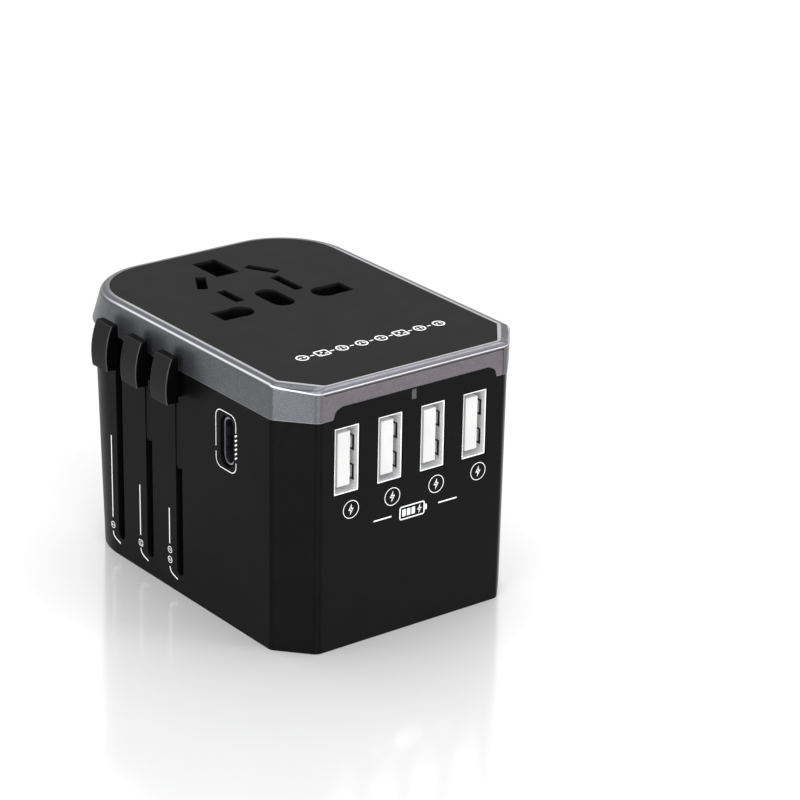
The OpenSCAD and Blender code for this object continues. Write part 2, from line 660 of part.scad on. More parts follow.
// White insulator of a USB-A port: a rear block and the tongue
module usb_a_tongue(i) color([0.95, 0.95, 0.94]) {
    x0 = usb_x(i) - usb_a[0] / 2;
    back = -house_hy + usb_a_depth - usb_wall;
    box([x0 + 0.02, x0 + usb_a[0] - 0.02], [back - 3.2, back - 0.02],
        [port_z - usb_a[1] / 2 + 0.02, port_z + usb_a[1] / 2 - 0.02]);
    box([x0 + 0.75, x0 + 3.45], [-house_hy + 0.7, back - 3], [port_z - 5.1, port_z + 5.1]);
}

module usb_a_contacts() color([0.9, 0.75, 0.35]) for (i = [1:4], k = [-1.5:1:1.5])
    box([usb_x(i) - usb_a[0] / 2 + 0.6, usb_x(i) - usb_a[0] / 2 + 0.75],
        [-house_hy + 2.4, -house_hy + 9.5],
        [port_z + k * 2.1 - 0.5, port_z + k * 2.1 + 0.5]);

module usb_a_shell_1() usb_a_shell(1);
module usb_a_shell_2() usb_a_shell(2);
module usb_a_shell_3() usb_a_shell(3);
module usb_a_shell_4() usb_a_shell(4);
module usb_a_tongue_1() usb_a_tongue(1);
module usb_a_tongue_2() usb_a_tongue(2);
module usb_a_tongue_3() usb_a_tongue(3);
module usb_a_tongue_4() usb_a_tongue(4);

// Lays a flat shape against the -X wall at the USB-C port, its thickness running inwards
module at_usb_c(x) translate([x, usb_c_y, usb_c_z]) rotate([0, 90, 0]) rotate([0, 0, 90]) children();

module usb_c_shell_part() color([0.62, 0.62, 0.64]) at_usb_c(-house_hx + 0.6) difference() {
    linear_extrude(usb_c_depth) racetrack(usb_c_shell[0], usb_c_shell[1]);
    translate([0, 0, -1]) linear_extrude(usb_c_depth + 0.6)
        racetrack(usb_c_shell[0] - 0.6, usb_c_shell[1] - 0.6);
}

module usb_c_tongue() color([0.12, 0.12, 0.13]) at_usb_c(-house_hx + 0.6) {
    translate([0, 0, 5]) linear_extrude(2.1) racetrack(usb_c_shell[0] - 0.64, usb_c_shell[1] - 0.64);
    translate([-0.35, -3.3, 1.1]) cube([0.7, 6.6, 4]);
}

module usb_c_board() color([0.05, 0.3, 0.16])
    box([-house_hx + 0.6 + usb_c_depth, -house_hx + 1.6 + usb_c_depth], [-21, -14.2],
        [board_z[1], 42]);

module led_light_pipe() color([0.75, 0.78, 0.82]) {
    box([-0.5, 0.5], [-house_hy + 0.05, -house_hy + wall + 1.2], [seam_z - 0.15, seam_z + 1.75]);
    box([-0.5, 0.5], [-house_hy + wall + 0.2, -house_hy + wall + 1.2], [board_z[1] + 0.6, seam_z + 1]);
}

module transformer_core() color([0.2, 0.2, 0.2]) difference() {
    box([1.5, 14.5], [-33, -20.8], [14, board_z[0]]);
    box([0, 16], [-31, -22.8], [16.4, 25]);
}

module transformer_winding() color([0.93, 0.78, 0.2])
    box([2.5, 13.5], [-30.95, -22.85], [16.45, 24.95]);

module capacitors() color([0.15, 0.18, 0.35]) for (x = [-13.9, -5.6])
    translate([x, -26.5, 0]) cylinder_z(3.9, 11, board_z[0]);

module choke() color([0.15, 0.15, 0.15]) translate([-1, -22.6, 0]) cylinder_z(2, 18, board_z[0]);

module power_chips() color([0.08, 0.08, 0.08]) {
    box([-15.6, -11.4], [-21.7, -19.9], [board_z[1], board_z[1] + 1.2]);
    box([17.6, 21.4], [-22, -19.8], [board_z[1], board_z[1] + 1.2]);
    // the status light under its light pipe
    box([-0.8, 0.8], [-33.6, -32.4], [board_z[1], board_z[1] + 0.5]);
}

main_housing();
base_plate();
bezel();
socket_plate();
socket_block();
led_light_pipe();
line_contact();
neutral_contact();
line_rail();
neutral_rail();
main_fuse();
fuse_clips();
shutter();
shutter_spring();
eu_carrier();
eu_pins();
eu_pin_sleeves();
eu_wipers();
eu_knob();
eu_knob_spring();
uk_carrier();
uk_pins();
uk_pin_sleeves();
uk_earth_pin();
uk_wipers();
uk_slot_strip();
uk_knob();
uk_knob_spring();
us_carrier();
us_blade_left();
us_blade_right();
us_wipers();
us_slot_strip();
us_knob();
us_knob_spring();
usb_board();
usb_a_shell_1();
usb_a_shell_2();
usb_a_shell_3();
usb_a_shell_4();
usb_a_tongue_1();
usb_a_tongue_2();
usb_a_tongue_3();
usb_a_tongue_4();
usb_a_contacts();
usb_c_shell_part();
usb_c_tongue();
usb_c_board();
transformer_core();
transformer_winding();
capacitors();
choke();
power_chips();
base_screws();
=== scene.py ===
"""Looks of the universal travel adapter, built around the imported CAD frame."""

import json
import math

import bmesh
import bpy
from mathutils import Matrix, Vector

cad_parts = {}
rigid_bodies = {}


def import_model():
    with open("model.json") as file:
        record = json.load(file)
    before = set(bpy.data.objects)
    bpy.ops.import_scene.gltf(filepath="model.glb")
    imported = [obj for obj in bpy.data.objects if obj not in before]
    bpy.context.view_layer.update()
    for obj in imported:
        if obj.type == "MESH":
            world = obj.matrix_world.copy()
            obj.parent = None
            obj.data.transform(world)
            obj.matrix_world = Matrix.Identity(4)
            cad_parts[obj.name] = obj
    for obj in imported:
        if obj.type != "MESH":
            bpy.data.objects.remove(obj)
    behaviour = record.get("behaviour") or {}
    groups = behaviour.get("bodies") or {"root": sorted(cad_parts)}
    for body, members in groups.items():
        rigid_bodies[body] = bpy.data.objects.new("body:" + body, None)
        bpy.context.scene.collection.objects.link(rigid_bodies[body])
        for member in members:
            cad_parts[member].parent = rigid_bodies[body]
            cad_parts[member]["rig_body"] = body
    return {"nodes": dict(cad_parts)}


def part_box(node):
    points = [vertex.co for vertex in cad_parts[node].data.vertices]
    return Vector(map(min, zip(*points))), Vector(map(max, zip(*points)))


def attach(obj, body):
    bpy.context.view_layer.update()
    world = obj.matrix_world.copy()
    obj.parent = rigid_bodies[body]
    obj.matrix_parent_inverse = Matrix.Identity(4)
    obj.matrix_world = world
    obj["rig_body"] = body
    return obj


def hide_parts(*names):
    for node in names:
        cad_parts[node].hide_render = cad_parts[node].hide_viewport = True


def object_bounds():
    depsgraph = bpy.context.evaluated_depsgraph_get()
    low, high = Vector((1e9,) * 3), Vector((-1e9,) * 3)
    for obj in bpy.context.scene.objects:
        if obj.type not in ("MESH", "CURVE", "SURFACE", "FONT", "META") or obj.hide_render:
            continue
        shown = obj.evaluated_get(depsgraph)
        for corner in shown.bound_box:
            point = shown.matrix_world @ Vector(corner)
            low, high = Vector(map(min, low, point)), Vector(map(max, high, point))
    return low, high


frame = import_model()
cad_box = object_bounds()

# Places and sizes are in mm, in the frame's axes, and MM turns them into Blender's metres
MM = 0.001
TOP_Z = round(cad_box[1][2] / MM, 2)  # face of the socket plate
END_Y = round(cad_box[0][1] / MM, 2)  # bezel's face over the USB-A ports
RIM_Z = 49.8  # where the bezel's rim starts to slope inwards
SEAM_Z = 44.4  # between the bezel and the housing
WALL_X, WALL_Y = -26.3, -35.8  # housing's walls at the seam, on the slider side and the USB-A side
DRAFT = 0.25 / SEAM_Z  # how far the walls lean in for each mm down
PORTS = (1, 2, 3, 4)
PLUGS = ("eu", "uk", "us")


# ---- Materials ----------------------------------------------------------------------------------

class Shader:
    """A small builder round one Principled material."""

    def __init__(self, name, color, rough, metallic=0.0, specular=0.5, coat=0.0, coat_rough=0.1):
        self.mat = bpy.data.materials.new(name)
        self.mat.use_nodes = True
        self.tree = self.mat.node_tree
        self.bsdf = self.tree.nodes["Principled BSDF"]
        self.set("Base Color", (*color, 1))
        self.set("Roughness", rough)
        self.set("Metallic", metallic)
        self.set("Specular IOR Level", specular)
        self.set("Coat Weight", coat)
        self.set("Coat Roughness", coat_rough)
        self.coords = self.node("ShaderNodeTexCoord").outputs["Object"]

    def set(self, socket, value):
        self.bsdf.inputs[socket].default_value = value

    def node(self, kind, **values):
        made = self.tree.nodes.new(kind)
        for key, value in values.items():
            if hasattr(made, key):
                setattr(made, key, value)
            else:
                made.inputs[key].default_value = value
        return made

    def link(self, out, socket):
        self.tree.links.new(out, socket)

    def axes(self):
        """X, Y and Z of the shaded point, as sockets."""
        made = self.node("ShaderNodeSeparateXYZ")
        self.link(self.coords, made.inputs["Vector"])
        return tuple(made.outputs)

    def calc(self, operation, *values):
        """Result of a Math node on numbers and sockets."""
        made = self.node("ShaderNodeMath", operation=operation)
        for socket, value in zip(made.inputs, values):
            if isinstance(value, (int, float)):
                socket.default_value = value
            else:
                self.link(value, socket)
        return made.outputs["Value"]

    def noise(self, size_mm, detail, stretch=(1, 1, 1)):
        """Noise whose features are about size_mm across, longer where stretch is below 1."""
        place = self.node("ShaderNodeMapping", Scale=stretch)
        made = self.node("ShaderNodeTexNoise", Scale=1 / (size_mm * MM), Detail=detail)
        self.link(self.coords, place.inputs["Vector"])
        self.link(place.outputs["Vector"], made.inputs["Vector"])
        return made.outputs["Fac"]

    def ramp(self, fac, low, high, start=0.3, end=0.7):
        """Runs from low to high while fac goes from start to end."""
        made = self.node("ShaderNodeMapRange")
        ends = {"From Min": start, "From Max": end, "To Min": low, "To Max": high}
        for key, value in ends.items():
            made.inputs[key].default_value = value
        self.link(fac, made.inputs["Value"])
        return made.outputs["Result"]

    def along(self, place, low, high, start_mm, end_mm):
        """Runs from low to high between two places on an axis."""
        return self.ramp(place, low, high, start_mm * MM, end_mm * MM)

    def line(self, place, middle, core_mm, half_mm):
        """1 within core_mm of middle, a place in metres, and 0 beyond half_mm."""
        off = self.calc("ABSOLUTE", self.calc("SUBTRACT", place, middle))
        return self.along(off, 1, 0, core_mm, half_mm)

    def blend(self, fac, low, high):
        """Colour that runs from low to high along fac; both may be colours or sockets."""
        made = self.node("ShaderNodeMix", data_type="RGBA")
        factor, color_a, color_b = made.inputs[0], made.inputs[6], made.inputs[7]
        self.link(fac, factor)
        for socket, value in ((color_a, low), (color_b, high)):
            if isinstance(value, tuple):
                socket.default_value = (*value, 1)
            else:
                self.link(value, socket)
        return made.outputs[2]

    def cloudy(self, fac, low, high):
        """Colour that varies between low and high over the middle of a noise's range."""
        return self.blend(self.ramp(fac, 0, 1), low, high)

    def paint(self, color):
        self.link(color, self.bsdf.inputs["Base Color"])

    def gloss(self, fac, low, high):
        self.link(self.ramp(fac, low, high), self.bsdf.inputs["Roughness"])

    def bump(self, fac, strength, depth_mm):
        made = self.node("ShaderNodeBump", Strength=strength, Distance=depth_mm * MM)
        self.link(fac, made.inputs["Height"])
        self.link(made.outputs["Normal"], self.bsdf.inputs["Normal"])


def scaled(color, k):
    return tuple(c * k for c in color)


def moulded(name, color, rough, grain_mm, grain, specular, vary=0.18):
    """Moulded plastic: fine spark-eroded grain, faint cloudy colour and gloss."""
    s = Shader(name, color, rough, specular=specular)
    s.paint(s.cloudy(s.noise(7, 4), scaled(color, 1 - vary), scaled(color, 1 + vary)))
    s.gloss(s.noise(3.5, 5), rough * 0.96, rough * 1.04)
    s.bump(s.noise(grain_mm, 2), grain, 0.02)
    return s.mat


def metal(name, color, rough, stretch=(1, 1, 1), metallic=1.0):
    """Drawn or rolled metal: fine lines along the direction with the small stretch."""
    s = Shader(name, color, rough, metallic=metallic)
    lines = s.noise(0.12, 3, stretch)
    s.paint(s.cloudy(lines, scaled(color, 0.86), scaled(color, 1.08)))
    s.gloss(s.noise(1.6, 4), rough * 0.8, rough * 1.25)
    s.bump(lines, 0.2, 0.01)
    return s.mat


def gunmetal():
    """Metallic paint with fine flakes; bright lines of painted highlight run along the edges of the
    rim, the sloped rim above the USB-A ports is painted lighter as a painted sheen, and the face over
    the
    USB-A ports is painted a shade darker and warmer, as painted shade."""
    color = (0.085, 0.087, 0.097)
    s = Shader("gunmetal_paint", color, 0.4, metallic=0.75, coat=0.15, coat_rough=0.25)
    _, y, z = s.axes()
    cool = s.cloudy(s.noise(0.2, 4), scaled(color, 0.72), scaled(color, 1.3))
    # painted shade: the face over the USB-A ports gets its own darker, warmer colour
    warm_shade = s.cloudy(s.noise(0.2, 4), (0.088, 0.074, 0.082), (0.126, 0.106, 0.117))
    base = s.blend(s.along(y, 1, 0, END_Y + 0.06, END_Y + 0.2), cool, warm_shade)
    # painted sheen: the sloped rim above the USB-A ports is made lighter
    sloped = s.along(z, 0, 1, RIM_Z, RIM_Z + 0.1)
    over_ports = s.along(y, 1, 0, END_Y + 1, END_Y + 1.2)
    base = s.blend(s.calc("MULTIPLY", sloped, over_ports), base, (0.15, 0.15, 0.165))
    # painted highlights: the outer line climbs round the chamfer, from low over the ports to high
    # along the sides, and all of them fade towards the back
    climb = s.along(y, 49.78 * MM, 50.56 * MM, END_Y, END_Y + 7.5)
    highlight_strength = s.along(y, 1, 0.15, 18, 26)
    for middle, half_mm, highlight_color in ((climb, 0.14, (0.6, 0.6, 0.63)),
                                    (TOP_Z * MM, 0.03, (0.4, 0.4, 0.42)),
                                    (SEAM_Z * MM, 0.12, (0.2, 0.2, 0.22))):
        # painted highlight: a bright line along one edge of the rim
        painted_highlight = s.calc("MULTIPLY", s.line(z, middle, half_mm / 2, half_mm), highlight_strength)
        base = s.blend(painted_highlight, base, highlight_color)
    s.paint(base)
    s.gloss(s.noise(2.4, 4), 0.36, 0.46)
    s.bump(s.noise(0.16, 3), 0.22, 0.02)
    return s.mat


def plate():
    """Matte charcoal face with finely sparked grain; the walls of its holes are painted almost black,
    as painted shade.
    """
    color = (0.0105, 0.0105, 0.0107)
    s = Shader("charcoal_plate", color, 0.55, specular=0.05)
    _, _, z = s.axes()
    face = s.cloudy(s.noise(7, 4), scaled(color, 0.92), scaled(color, 1.08))
    # painted shade: the walls of the holes, below the face, are made almost black
    s.paint(s.blend(s.along(z, 0, 1, TOP_Z - 0.7, TOP_Z - 0.2), (0.0015, 0.0015, 0.0019), face))
    s.gloss(s.noise(3.5, 5), 0.53, 0.57)
    s.bump(s.noise(0.18, 2), 0.3, 0.02)
    return s.mat


def knob():
    """Black cap of a slider: its curved front catches the light, its sides, top and stem are painted
    almost black as painted shade, and the edges between them carry lighter painted highlights."""
    color = (0.0135, 0.0135, 0.0138)
    s = Shader("knob_black", color, 0.4, specular=0.04)
    x, y, z = s.axes()
    low, high = (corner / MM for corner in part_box("eu_knob"))
    pitch = low.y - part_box("uk_knob")[0].y / MM
    half_w = (high.y - low.y) / 2
    # the knobs are evenly spaced, so this is the distance from the nearest one's middle
    across = s.calc("PINGPONG", s.calc("SUBTRACT", y, (low.y + half_w) * MM), pitch / 2 * MM)
    base = s.cloudy(s.noise(7, 4), scaled(color, 0.9), scaled(color, 1.1))
    # painted highlights: lighter lines along the side edges and the top edge
    for place, edge, highlight_color in ((across, half_w - 0.13, (0.062, 0.062, 0.064)),
                                (z, high.z - 0.13, (0.03, 0.03, 0.031))):
        base = s.blend(s.line(place, edge * MM, 0.04, 0.1), base, highlight_color)
    # painted shade: the sides, top and stem turn almost black
    shade_mask = s.along(across, 0, 1, half_w - 0.07, half_w - 0.01)
    for part in (s.along(z, 0, 1, high.z - 0.08, high.z - 0.02),
                 s.along(x, 0, 1, low.x + 1.5, low.x + 1.6)):
        shade_mask = s.calc("MAXIMUM", shade_mask, part)
    s.paint(s.blend(shade_mask, base, (0.0012, 0.0012, 0.0013)))
    s.gloss(s.noise(3.5, 5), 0.38, 0.42)
    s.bump(s.noise(0.12, 2), 0.16, 0.02)
    return s.mat


def ink():
    """White pad print, slightly uneven."""
    s = Shader("white_print", (0.88, 0.88, 0.88), 0.5)
    s.paint(s.cloudy(s.noise(0.3, 3), (0.8, 0.8, 0.8), (0.93, 0.93, 0.93)))
    s.bump(s.noise(0.08, 2), 0.2, 0.005)
    return s.mat


def light_pipe():
    """Smoked clear plastic over the indicator."""
    s = Shader("smoked_light_pipe", (0.02, 0.02, 0.022), 0.18, specular=0.35)
    s.paint(s.cloudy(s.noise(0.9, 3), (0.016, 0.016, 0.018), (0.026, 0.026, 0.03)))
    s.gloss(s.noise(0.5, 3), 0.14, 0.24)
    s.set("Transmission Weight", 0.25)
    return s.mat


def circuit_board():
    """Green lacquer over a pattern of copper tracks."""
    s = Shader("circuit_board", (0.02, 0.14, 0.06), 0.35, coat=0.4)
    tracks = s.node("ShaderNodeTexBrick", Scale=420)
    s.link(s.coords, tracks.inputs["Vector"])
    s.paint(s.cloudy(tracks.outputs["Fac"], (0.014, 0.11, 0.045), (0.03, 0.19, 0.08)))
    s.bump(tracks.outputs["Fac"], 0.3, 0.03)
    return s.mat


BLACK = moulded("black_shell", (0.003, 0.003, 0.0031), 0.36, grain_mm=0.14, grain=0.16, specular=0.04)
PLATE = plate()
KNOB = knob()
INNER = moulded("inner_black", (0.006, 0.006, 0.006), 0.55, grain_mm=0.2, grain=0.3, specular=0.25)
WHITE = moulded("port_white", (0.52, 0.52, 0.515), 0.38, grain_mm=0.2, grain=0.1, specular=0.4,
                vary=0.04)
GUNMETAL = gunmetal()
PRINT = ink()
PIPE = light_pipe()
STEEL = metal("port_steel", (0.9, 0.9, 0.91), 0.45, stretch=(1, 0.05, 1), metallic=0.6)
# painted shade: the USB-C shell's steel is made dark to stand for the shade inside the small port
SHADED_STEEL = metal("shaded_steel", (0.3, 0.3, 0.33), 0.32, stretch=(0.05, 1, 1))
BRASS = metal("contact_brass", (0.78, 0.55, 0.2), 0.3, stretch=(1, 1, 0.05))
NICKEL = metal("plated_pin", (0.7, 0.68, 0.64), 0.2, stretch=(1, 1, 0.04))
SPRING = metal("spring_wire", (0.5, 0.5, 0.52), 0.3, stretch=(1, 1, 0.1))
SCREW = metal("blackened_screw", (0.22, 0.22, 0.23), 0.35)
FERRITE = moulded("ferrite", (0.03, 0.03, 0.032), 0.7, grain_mm=0.3, grain=0.6, specular=0.3)
TAPE = moulded("winding_tape", (0.62, 0.42, 0.04), 0.25, grain_mm=0.6, grain=0.2, specular=0.5,
               vary=0.1)
SLEEVE = moulded("capacitor_sleeve", (0.02, 0.03, 0.1), 0.22, grain_mm=0.5, grain=0.1, specular=0.5)
CHIP = moulded("chip_package", (0.015, 0.015, 0.015), 0.6, grain_mm=0.1, grain=0.4, specular=0.3)
CERAMIC = moulded("fuse_ceramic", (0.62, 0.6, 0.52), 0.4, grain_mm=0.2, grain=0.2, specular=0.4,
                  vary=0.05)
BOARD = circuit_board()


# ---- Meshes -------------------------------------------------------------------------------------

def new_object(name, bm, material, smooth=0):
    """Object made from a bmesh; its faces shade as one where they meet at under smooth degrees."""
    mesh = bpy.data.meshes.new(name)
    bm.to_mesh(mesh)
    bm.free()
    mesh.materials.append(material)
    if smooth:
        mesh.polygons.foreach_set("use_smooth", [True] * len(mesh.polygons))
        mesh.set_sharp_from_angle(angle=math.radians(smooth))
    made = bpy.data.objects.new(name, mesh)
    bpy.context.scene.collection.objects.link(made)
    return made


def bar(bm, rows, closed=False):
    """Skin over rows of four corners: a ring, or a bar with capped ends."""
    rows = [[bm.verts.new(corner) for corner in row] for row in rows]
    steps = list(zip(rows, rows[1:]))
    if closed:
        steps.append((rows[-1], rows[0]))
    for a, b in steps:
        for i in range(4):
            j = (i + 1) % 4
            bm.faces.new((a[i], a[j], b[j], b[i]))
    if not closed:
        bm.faces.new(rows[0])
        bm.faces.new(rows[-1])


# ---- Pieces made from the CAD nodes -------------------------------------------------------------

def rounded(node, material, edge_mm):
    """A copy of a CAD node with its sharp edges rounded; it takes the node's place."""
    sharp = 30
    source = frame["nodes"][node]
    bm = bmesh.new()
    bm.from_mesh(source.data)
    bmesh.ops.remove_doubles(bm, verts=bm.verts, dist=0.002 * MM)
    piece = new_object(node + "_piece", bm, material, sharp)
    bevel = piece.modifiers.new("edges", "BEVEL")
    bevel.width = edge_mm * MM
    bevel.segments = 3
    bevel.limit_method = "ANGLE"
    bevel.angle_limit = math.radians(sharp)
    bevel.use_clamp_overlap = True
    bevel.harden_normals = True
    bevel.miter_outer = "MITER_ARC"
    even = piece.modifiers.new("even faces", "WEIGHTED_NORMAL")
    even.keep_sharp = True
    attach(piece, source["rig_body"])
    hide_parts(node)


def painted(node, material):
    """Gives a CAD node that stays its material."""
    part = frame["nodes"][node]
    if not part.material_slots:
        part.data.materials.append(material)
    for slot in part.material_slots:
        slot.material = material


# Each node that is replaced, with its material and the radius of its edges
ROUNDED = {
    "main_housing": (BLACK, 0.25), "bezel": (GUNMETAL, 0.12), "socket_plate": (PLATE, 0.16),
    "base_plate": (BLACK, 0.15),
    **{f"{plug}_knob": (KNOB, 0.4) for plug in PLUGS},
    "eu_pins": (NICKEL, 0.25), "uk_pins": (NICKEL, 0.3), "uk_earth_pin": (INNER, 0.35),
    "us_blade_left": (NICKEL, 0.2), "us_blade_right": (NICKEL, 0.2),
    **{f"usb_a_shell_{i}": (STEEL, 0.09) for i in PORTS},
    **{f"usb_a_tongue_{i}": (WHITE, 0.15) for i in PORTS},
    "usb_c_shell_part": (SHADED_STEEL, 0.08), "shutter": (INNER, 0.12),
}
PLAIN = {
    BRASS: ["line_contact", "neutral_contact", "line_rail", "neutral_rail", "fuse_clips",
            "eu_wipers", "uk_wipers", "us_wipers", "usb_a_contacts"],
    INNER: ["socket_block", "eu_carrier", "uk_carrier", "us_carrier", "eu_pin_sleeves",
            "uk_pin_sleeves", "usb_c_tongue"],
    BLACK: ["uk_slot_strip", "us_slot_strip"],
    SPRING: ["shutter_spring", "eu_knob_spring", "uk_knob_spring", "us_knob_spring"],
    PIPE: ["led_light_pipe"], SCREW: ["base_screws"], FERRITE: ["transformer_core", "choke"],
    TAPE: ["transformer_winding"], SLEEVE: ["capacitors"], CHIP: ["power_chips"],
    CERAMIC: ["main_fuse"], BOARD: ["usb_board", "usb_c_board"],
}
for node, (material, edge_mm) in ROUNDED.items():
    rounded(node, material, edge_mm)
for material, nodes in PLAIN.items():
    for node in nodes:
        painted(node, material)


# ---- Printed marks ------------------------------------------------------------------------------

INK = 0.016  # thickness of the print
LIFT = 0.004  # its gap to the surface, so that the two never share a plane


def on_front(x, z, h):
    return Vector((x, WALL_Y + DRAFT * (SEAM_Z - z) - LIFT - h, z)) * MM


def on_side(y, z, h):
    return Vector((WALL_X + DRAFT * (SEAM_Z - z) - LIFT - h, y, z)) * MM


def on_top(x, y, h):
    return Vector((x, y, TOP_Z + LIFT + h)) * MM


def stroke(points, width, closed=False):
    """The two sides of a line of constant width through 2D points, and whether it is a loop."""
    pts = [Vector(p) for p in points]
    n = len(pts)
    left, right = [], []
    for i, p in enumerate(pts):
        dirs = []
        if i or closed:
            dirs.append((p - pts[i - 1]).normalized())
        if i < n - 1 or closed:
            dirs.append((pts[(i + 1) % n] - p).normalized())
        tangent = sum(dirs, Vector((0, 0))).normalized()
        normal = Vector((-tangent.y, tangent.x))
        # a bend needs a longer reach to keep the width, up to a limit at sharp ones
        reach = width / 2 / max(0.4, abs(normal.dot(Vector((-dirs[0].y, dirs[0].x)))))
        left.append(p + normal * reach)
        right.append(p - normal * reach)
    return left, right, closed


def arc(cx, cy, r, start, end, steps):
    """Points round a centre, between two angles in degrees."""
    turns = [math.radians(start + (end - start) * i / steps) for i in range(steps + 1)]
    return [(cx + r * math.cos(a), cy + r * math.sin(a)) for a in turns]


def ring(cx, cy, r, width, steps=40):
    """A circle of constant line width."""
    return stroke(arc(cx, cy, r, 0, 360 * (steps - 1) / steps, steps - 1), width, True)


def block(x0, y0, x1, y1):
    """A filled rectangle."""
    return stroke([(x0, (y0 + y1) / 2), (x1, (y0 + y1) / 2)], abs(y1 - y0))


def blocks(cx, reach, half_w, y0, y1):
    """Two filled rectangles, mirrored about cx."""
    return [block(cx + s * reach - half_w, y0, cx + s * reach + half_w, y1) for s in (-1, 1)]


def rounded_loop(x0, y0, x1, y1, r):
    """Points of a rectangle with round corners."""
    corners = ((x1 - r, y1 - r, 0), (x0 + r, y1 - r, 90), (x0 + r, y0 + r, 180), (x1 - r, y0 + r, 270))
    loop = []
    for cx, cy, start in corners:
        loop += arc(cx, cy, r, start, start + 90, 8)
    return loop


def bolt(cx, cy, size):
    """Lightning bolt, as a closed line."""
    outline = [(0.12, 1), (-0.5, -0.12), (-0.02, -0.12), (-0.14, -1), (0.5, 0.16), (0.04, 0.16)]
    return stroke([(cx + x * size, cy + y * size) for x, y in outline], size * 0.14, True)


def printed(name, strokes, place):
    """One closed piece of print: every stroke is a thin bar on the surface that place maps to."""
    bm = bmesh.new()
    for left, right, closed in strokes:
        bar(bm, [[place(p.x, p.y, h) for p, h in ((a, 0), (b, 0), (b, INK), (a, INK))]
                 for a, b in zip(left, right)], closed)
    bmesh.ops.recalc_face_normals(bm, faces=bm.faces)
    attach(new_object(name, bm, PRINT), "body")


def port_marks():
    """A ringed bolt under each USB-A port."""
    marks = []
    for x, z in ((-13.5, 26.5), (-4.4, 26.65), (5.4, 26.65), (14.95, 26.75)):
        marks += [ring(x, z, 1.66, 0.11), bolt(x, z, 0.9)]
    printed("port_marks", marks, on_front)


def battery_mark():
    """A battery with three full cells and a bolt, between two dashes."""
    z = 22.8
    marks = [stroke(rounded_loop(-2.6, z - 1.2, 2.8, z + 1.2, 0.35), 0.22, True),
             block(3.0, z - 0.5, 3.4, z + 0.5)]
    marks += [block(x, z - 0.65, x + 0.75, z + 0.65) for x in (-2.1, -1.05, 0.0)]
    marks.append(bolt(1.75, z, 0.75))
    printed("total_mark", marks, on_front)
    printed("dashes", [block(x0, z - 0.1, x1, z + 0.15) for x0, x1 in ((-8.46, -4.5), (6.04, 10.17))],
            on_front)


def slot_sign(plug, y, z):
    """Small face of a plug, as strokes: round pins, three rectangular pins or two blades."""
    r, width = 0.62, 0.13
    if plug == "uk":
        return [stroke(rounded_loop(y - r, z - 0.9 * r, y + r, z + 0.9 * r, 0.3 * r), width, True),
                block(y - 0.1, z + 0.1 * r, y + 0.1, z + 0.6 * r),
                *blocks(y, 0.45 * r, 0.14, z - 0.5 * r, z - 0.25 * r)]
    if plug == "eu":
        pins = [ring(y + s * 0.4 * r, z, 0.09, 0.12, 12) for s in (-1, 1)]
    else:
        pins = blocks(y, 0.4 * r, 0.07, z - 0.4 * r, z + 0.4 * r)
    return [ring(y, z, r, width)] + pins


def slot_marks(plug, y, low, high, signs):
    """Beside a slot: a guide line from low to high, plug signs, and a hook under the slot's end."""
    width = 0.26
    marks = [stroke([(y, low), (y, high)], width)]
    for z in signs:
        marks += slot_sign(plug, y - 0.05, z)
    hook = [(y, 4.2), (y - 0.1, 3.7), (y - 0.4, 3.3), (y - 1.0, 2.95), (y - 2.5, 2.5)]
    marks.append(stroke(hook, width))
    printed(plug + "_slot_marks", marks, on_side)


def usb_c_outline():
    """Round the USB-C port: an outline with a small gap on the far side and a longer one on the
    USB-A side, filled with ticks."""
    y0, y1, z0, z1, r = -18.8, -12.6, 30.1, 41.15, 1.6
    near_gap, far_gap = (32.38, 38.13), (32.75, 33.75)

    def corner(cy, cz, start):
        return arc(cy, cz, r, start, start - 90, 8)

    upper = [(y0, near_gap[1]), *corner(y0 + r, z1 - r, 180),
             *corner(y1 - r, z1 - r, 90), (y1, far_gap[1])]
    lower = [(y1, far_gap[0]), *corner(y1 - r, z0 + r, 0),
             *corner(y0 + r, z0 + r, -90), (y0, near_gap[0])]
    marks = [stroke(upper, 0.15), stroke(lower, 0.15)]
    for i in range(6):
        z = near_gap[1] - 0.53 - i * 0.85
        marks.append(stroke([(y0 - 0.3, z + 0.2), (y0 + 0.3, z - 0.2)], 0.3))
    printed("usb_c_outline", marks, on_side)


def face_strip():
    """Along the socket face: a strip of generic plug signs, joined by dashes."""
    y, r, width, pitch = -22.4, 1.08, 0.3, 4.32
    marks = []
    for i, plug in enumerate(("eu", "uk", "us", "au") * 2):
        x = -14.6 + i * pitch
        if plug == "uk":
            marks += [stroke(rounded_loop(x - 1.25, y - r, x + 1.25, y + r, 0.35), width, True),
                      block(x - 0.16, y + 0.05, x + 0.16, y + 0.65),
                      *blocks(x, 0.6, 0.25, y - 0.5, y - 0.2)]
        else:
            marks.append(ring(x, y, r, width))
        if plug == "eu":
            marks += [ring(x + s * 0.42, y, 0.13, 0.24, 12) for s in (-1, 1)]
        elif plug == "us":
            marks += blocks(x, 0.4, 0.12, y - 0.45, y + 0.45)
        elif plug == "au":
            marks += [stroke([(x + s * 0.55, y - 0.38), (x + s * 0.24, y + 0.38)], 0.24)
                      for s in (-1, 1)]
        if i:
            marks.append(block(x - 2.6, y - 0.14, x - 1.75, y + 0.14))
    printed("face_strip", marks, on_top)


port_marks()
battery_mark()
slot_marks("eu", y=22.1, low=7.1, high=23.8, signs=[5.5])
slot_marks("uk", y=12.6, low=6.85, high=17.1, signs=[5.3])
slot_marks("us", y=2.8, low=8.84, high=16.0, signs=[7.6, 5.6])
usb_c_outline()
face_strip()


# ---- Spring fingers inside the USB-A shells -----------------------------------------------------

